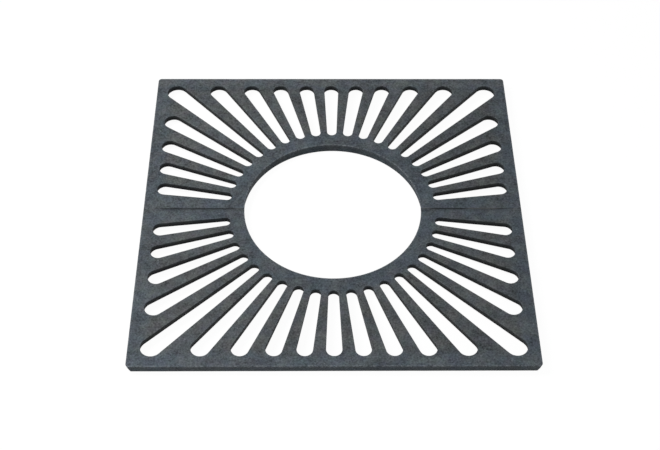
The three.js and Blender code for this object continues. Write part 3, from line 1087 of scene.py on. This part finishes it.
# Where its looks change, in metres: from the middle, from the seam or up from the underside
RIM_END = (0.252, 0.262)
BAND_END = (0.268, 0.3)
BARS_END = (0.44, 0.472)
BORDER_START = (0.474, 0.48)
WEB_EDGE = (0.034, 0.048)
REAR_WARM_LIGHT = (0.45, 0.475)
LEFT_WARM_LIGHT = (-0.45, -0.475)
FRONT_REAR_BORDER = (0.452, 0.474)
SEAM_CLOSES = (0.445, 0.465)
DUST_AND_LIGHT_WEB = (0.345, 0.365)
DUST_AND_LIGHT_ENDS = (0.425, 0.45)
DUST_AND_LIGHT_BY_OPENING = (0.25, 0.285)
JOINT_EDGE = (0.0024, 0.0014)
SEAM_SHADE_START = 0.0008
TOP_EDGE = (0.028, 0.0293)
# Heights at which the painted shade in the slots and on the walls starts and grows
UPPER_SLOT_SHADE = (0.0298, 0.0286)
LOWER_SLOT_SHADE = (0.0262, 0.0195)
UNDER_BARS = (0.012, 0.0136)
WALL_SHADE = (0.0285, 0.004)
OUTER_EDGE_SHADE = (0.029, 0.026)


def cast_iron(name, offset, seam_shade_reach, seam_shade_share):
    """Shot-blasted grey iron under a thin dark dip coating: blue-grey, mottled, worn at the edges,
    with painted shade on its walls and beside the seam.
    """
    material, wiring = new_finish(name)
    object_place = wiring.object_place()
    place = wiring.shift(object_place, offset)
    split = wiring.add("ShaderNodeSeparateXYZ", {0: object_place}).outputs
    height = split["Z"]

    # The bars are less blue than the ring band and the border.
    level_place = wiring.add("ShaderNodeCombineXYZ", {"X": split["X"], "Y": split["Y"]})
    from_middle = wiring.add(
        "ShaderNodeVectorMath", {0: level_place.outputs[0]}, operation="LENGTH"
    ).outputs["Value"]
    across = wiring.compute("ABSOLUTE", split["X"])
    along = wiring.compute("ABSOLUTE", split["Y"])
    to_border = wiring.compute("MAXIMUM", across, along)
    past_ring = wiring.span(from_middle, *BAND_END, smooth=True)
    before_border = wiring.span(to_border, *BARS_END, 1.0, 0.0, smooth=True)
    off_seam = wiring.span(along, *WEB_EDGE, smooth=True)
    bars = wiring.times(wiring.times(past_ring, before_border), off_seam)
    # Painted warm light: the rear and left border are made less blue, as if warm light fell from
    # that side, so the border is bluest on the right.
    rear_warm_light = wiring.span(split["Y"], *REAR_WARM_LIGHT, 0.0, 0.55, smooth=True)
    left_warm_light = wiring.span(split["X"], *LEFT_WARM_LIGHT, 0.0, 0.3, smooth=True)
    painted_warm_light = wiring.compute("MAXIMUM", rear_warm_light, left_warm_light)
    neutral_and_warm_light = wiring.compute("MAXIMUM", bars, painted_warm_light)

    band = use(
        wiring, mottle, Place=place, Cool=BAND_COOL, Warm=BAND_WARM,
        Patch_Scale=12.0, Patches=0.7, Blotches=0.85, Grain=2.4,
    )
    bar = use(
        wiring, mottle, Place=place, Cool=BAR_COOL, Warm=BAR_WARM,
        Patch_Scale=12.0, Patches=0.75, Blotches=0.9, Grain=2.35,
    )
    colour = wiring.blend(neutral_and_warm_light, band["Color"], bar["Color"])

    # The front and rear borders are a little lighter.
    lighter_front_rear = wiring.span(along, *FRONT_REAR_BORDER, 1.0, 1.13, smooth=True)
    colour = wiring.shade(colour, lighter_front_rear)

    relief = use(wiring, grain, Place=place, Grain_Scale=330.0, Pit_Share=0.25)
    pale = use(wiring, specks, Place=place, Speck_Scale=95.0, Share=0.13)
    colour = wiring.blend(wiring.times(pale["Mask"], 0.55), colour, SPECK_COLOUR)

    # Painted shade darkens the walls, most of all deep in the slots, less on the underside, and
    # only a little on the opening's and the border's walls.
    past_rim = wiring.span(from_middle, *RIM_END)
    inside_border = wiring.span(to_border, *BORDER_START, 1.0, 0.0)
    in_slots = wiring.times(past_rim, inside_border)
    # Painted shade in the slots: it starts just under the top edge, deepens down the walls, and is
    # halved on the underside.
    slot_shade = wiring.compute(
        "ADD",
        wiring.span(height, *UPPER_SLOT_SHADE, 0.0, 0.55),
        wiring.span(height, *LOWER_SLOT_SHADE, 0.0, 0.33),
    )
    slot_shade = wiring.times(slot_shade, wiring.span(height, *UNDER_BARS, 0.5, 1.0))
    # Painted shade on the opening's and the border's walls grows towards the bottom, stronger on
    # the border, with a little more just under the border's outer edge.
    on_border = wiring.span(to_border, *BORDER_START)
    wall_shade_share = wiring.span(on_border, 0.0, 1.0, 0.08, 0.25)
    wall_shade = wiring.times(wiring.span(height, *WALL_SHADE), wall_shade_share)
    outer_edge_shade = wiring.times(wiring.span(height, *OUTER_EDGE_SHADE, 0.0, 0.16), on_border)
    wall_shade = wiring.compute("MAXIMUM", wall_shade, outer_edge_shade)
    painted_shade = wiring.add(
        "ShaderNodeMix", {0: in_slots, 2: wall_shade, 3: slot_shade}, data_type="FLOAT"
    ).outputs[0]
    # The painted shade darkens the colour, to a twentieth where it is full.
    colour = wiring.shade(colour, wiring.span(painted_shade, 0.0, 1.0, 1.0, 0.05))

    # Painted shade darkens the top beside the seam and fades away from it, broken up, and weaker
    # towards the ends where the seam closes.
    from_seam = wiring.span(along, SEAM_SHADE_START, seam_shade_reach, 1.0, 0.0)
    seam_shade = wiring.times(from_seam, from_seam)
    open_seam = wiring.span(
        across, *SEAM_CLOSES, seam_shade_share, seam_shade_share * 0.45, smooth=True
    )
    on_top = wiring.span(height, *TOP_EDGE)
    seam_shade = wiring.times(seam_shade, wiring.times(open_seam, on_top))
    ragged = wiring.span(wiring.noise(place, 70.0, 3.0, 0.7), 0.3, 0.7, 0.6, 1.2)
    colour = wiring.blend(wiring.times(seam_shade, ragged, clamp=True), colour, SEAM_SHADE_COLOUR)

    # Pale dust lies in the joint by the opening and towards its right end, and its pale colour is
    # also painted light that lifts the joint's shade.
    in_joint = wiring.span(along, *JOINT_EDGE)
    dust_and_light = wiring.span(split["X"], *DUST_AND_LIGHT_WEB, 0.02, 0.5, smooth=True)
    dust_and_light = wiring.times(dust_and_light, wiring.span(across, *DUST_AND_LIGHT_ENDS, 1.0, 0.0))
    by_opening = wiring.span(across, *DUST_AND_LIGHT_BY_OPENING, 0.3, 0.0)
    dust_and_light = wiring.compute("MAXIMUM", dust_and_light, by_opening)
    colour = wiring.blend(wiring.times(in_joint, dust_and_light), colour, DUST_AND_LIGHT_COLOUR)

    # Bare metal shows where the edges are worn, and less in the slots than round the outside.
    edge = wiring.add("ShaderNodeAttribute", attribute_name="edge_wear").outputs["Fac"]
    amount = wiring.span(in_slots, 0.0, 1.0, 0.62, 0.14)
    worn = use(wiring, edge_wear, Edge=edge, Place=place, Amount=amount)
    colour = wiring.blend(worn["Mask"], colour, WORN_COLOUR)
    rough = wiring.span(relief["Tone"], 0.0, 1.0, 0.74, 0.6)
    rough = wiring.compute("SUBTRACT", rough, wiring.times(worn["Mask"], 0.2))

    swell = wiring.noise(place, 45.0, 3.0, 0.5)
    normal = bump(wiring, swell, 0.35, 0.0015)
    normal = bump(wiring, relief["Height"], 0.5, 0.0005, normal)
    looks = {"Base Color": colour, "Roughness": rough, "Normal": normal}
    looks["Metallic"] = wiring.times(worn["Mask"], 0.4)
    looks["Specular IOR Level"] = 0.07
    end_in_shader(wiring, looks)
    return material


def galvanised_steel():
    """Hot-dip galvanised flat steel with a dull spangle."""
    material, wiring = new_finish("galvanised steel")
    place = wiring.object_place()
    spangle = wiring.cells(place, 150.0)
    facet = wiring.split_colour(spangle["Color"])
    stain = use(
        wiring, mottle, Place=place, Cool=(0.31, 0.33, 0.345, 1), Warm=(0.37, 0.38, 0.385, 1),
        Patch_Scale=40.0, Patches=0.8, Blotches=0.5, Grain=0.4,
    )
    colour = wiring.shade(stain["Color"], wiring.span(facet["Red"], 0.0, 1.0, 0.82, 1.15))
    rough = wiring.span(facet["Green"], 0.0, 1.0, 0.38, 0.58)
    relief = use(wiring, grain, Place=place, Grain_Scale=500.0, Pit_Share=0.1)
    normal = bump(wiring, relief["Height"], 0.3, 0.0003)
    looks = {"Base Color": colour, "Roughness": rough, "Normal": normal, "Metallic": 0.85}
    end_in_shader(wiring, looks)
    return material


def zinc_plate(name, offset):
    """Bright zinc plating, clouded here and there."""
    material, wiring = new_finish(name)
    place = wiring.shift(wiring.object_place(), (offset, offset, 0.0))
    colour = use(
        wiring, mottle, Place=place, Cool=(0.44, 0.46, 0.48, 1), Warm=(0.5, 0.51, 0.5, 1),
        Patch_Scale=110.0, Patches=0.7, Blotches=0.4, Grain=0.3,
    )["Color"]
    relief = use(wiring, grain, Place=place, Grain_Scale=1500.0, Pit_Share=0.1)
    rough = wiring.span(relief["Tone"], 0.0, 1.0, 0.28, 0.44)
    normal = bump(wiring, relief["Height"], 0.15, 0.0001)
    looks = {"Base Color": colour, "Roughness": rough, "Normal": normal, "Metallic": 0.9}
    end_in_shader(wiring, looks)
    return material


# The studio


FLOOR_GLOW = 0.96  # white that the floor shows even in the object's shadow
FLOOR_SHARE = 0.06  # the rest, which the shadow takes away
FLOOR_BOUNCE = 0.1  # how much light it throws back up
FLOOR_REACH = 12.0  # from the middle to its sides, in metres
FLOOR_SEGMENTS = 8
SKY_LIGHT = 0.4
CAMERA_PLACE = (-0.040629, -2.172515, 2.494813)  # from the middle of the top, in metres
CAMERA_PITCH = math.radians(49.703)  # downwards
CAMERA_YAW = math.radians(-0.899)
CAMERA_ROLL = math.radians(0.631)
FOCAL_LENGTH = 68.182
SENSOR_WIDTH = 36.0
FARTHEST_SEEN = 100.0


def seen_directly(wiring):
    """One for what the camera, gloss and glass see, zero for scattered light."""
    path = wiring.add("ShaderNodeLightPath").outputs
    seen = wiring.compute("MAXIMUM", path["Is Camera Ray"], path["Is Glossy Ray"])
    return wiring.compute("MAXIMUM", seen, path["Is Transmission Ray"])


def grey_of(tone):
    return (tone, tone, tone, 1)


def floor():
    form = bmesh.new()
    bmesh.ops.create_grid(
        form, x_segments=FLOOR_SEGMENTS, y_segments=FLOOR_SEGMENTS, size=FLOOR_REACH
    )
    mesh = bpy.data.meshes.new("studio_floor")
    form.to_mesh(mesh)
    form.free()
    material = bpy.data.materials.new("studio floor")
    wiring = blank_tree(material)
    shown = wiring.add("ShaderNodeBsdfDiffuse", {"Color": grey_of(FLOOR_SHARE)})
    glow = wiring.add("ShaderNodeEmission", {"Strength": FLOOR_GLOW})
    white = wiring.add("ShaderNodeAddShader", {0: shown.outputs[0], 1: glow.outputs[0]})
    bounce = wiring.add("ShaderNodeBsdfDiffuse", {"Color": grey_of(FLOOR_BOUNCE)})
    mix = wiring.add(
        "ShaderNodeMixShader",
        {0: seen_directly(wiring), 1: bounce.outputs[0], 2: white.outputs[0]},
    )
    wiring.add("ShaderNodeOutputMaterial", {"Surface": mix.outputs[0]})
    mesh.materials.append(material)
    add_object("studio_floor", mesh)


def sky():
    world = bpy.data.worlds.new("studio")
    wiring = blank_tree(world)
    strength = wiring.span(seen_directly(wiring), 0.0, 1.0, SKY_LIGHT, 1.0)
    background = wiring.add("ShaderNodeBackground", {"Color": grey_of(1), "Strength": strength})
    wiring.add("ShaderNodeOutputWorld", {"Surface": background.outputs[0]})
    bpy.context.scene.world = world


def softbox(name, place, size, watts):
    """A round lamp that faces the middle of the grate."""
    data = bpy.data.lights.new(name, "AREA")
    data.shape = "DISK"
    data.size = size
    data.energy = watts
    lamp = add_object(name, data)
    lamp.location = place
    towards = -Vector(place)
    lamp.rotation_euler = towards.to_track_quat("-Z", "Y").to_euler()


def camera():
    """The photograph's view: 50 degrees down from the front, a touch from the left."""
    ahead = Vector((0, math.cos(CAMERA_PITCH), -math.sin(CAMERA_PITCH)))
    right = Vector((1, 0, 0))
    up = right.cross(ahead)
    turn = Matrix.Rotation(CAMERA_YAW, 3, "Z").transposed()
    tilt = Matrix.Rotation(CAMERA_ROLL, 3, "Z").transposed()
    rows = tilt @ (Matrix((right, up, ahead)) @ turn)
    axes = Matrix((rows[0], rows[1], -rows[2])).transposed()
    x, y, above_top = CAMERA_PLACE
    data = bpy.data.cameras.new("camera")
    data.sensor_fit = "HORIZONTAL"
    data.sensor_width = SENSOR_WIDTH
    data.lens = FOCAL_LENGTH
    data.clip_end = FARTHEST_SEEN
    obj = add_object("camera", data)
    stand = Matrix.Translation((x, y, above_top + HEIGHT * MM))
    obj.matrix_world = stand @ axes.to_4x4()
    bpy.context.scene.camera = obj


castings()
joints()
floor()
sky()
softbox("key softbox", place=(-1.5, 0.15, 2.2), size=1.2, watts=45.3)
softbox("front softbox", place=(-1.3, -2.1, 0.9), size=1.2, watts=14.6)
camera()

scene = bpy.context.scene
scene.view_settings.view_transform = "Standard"
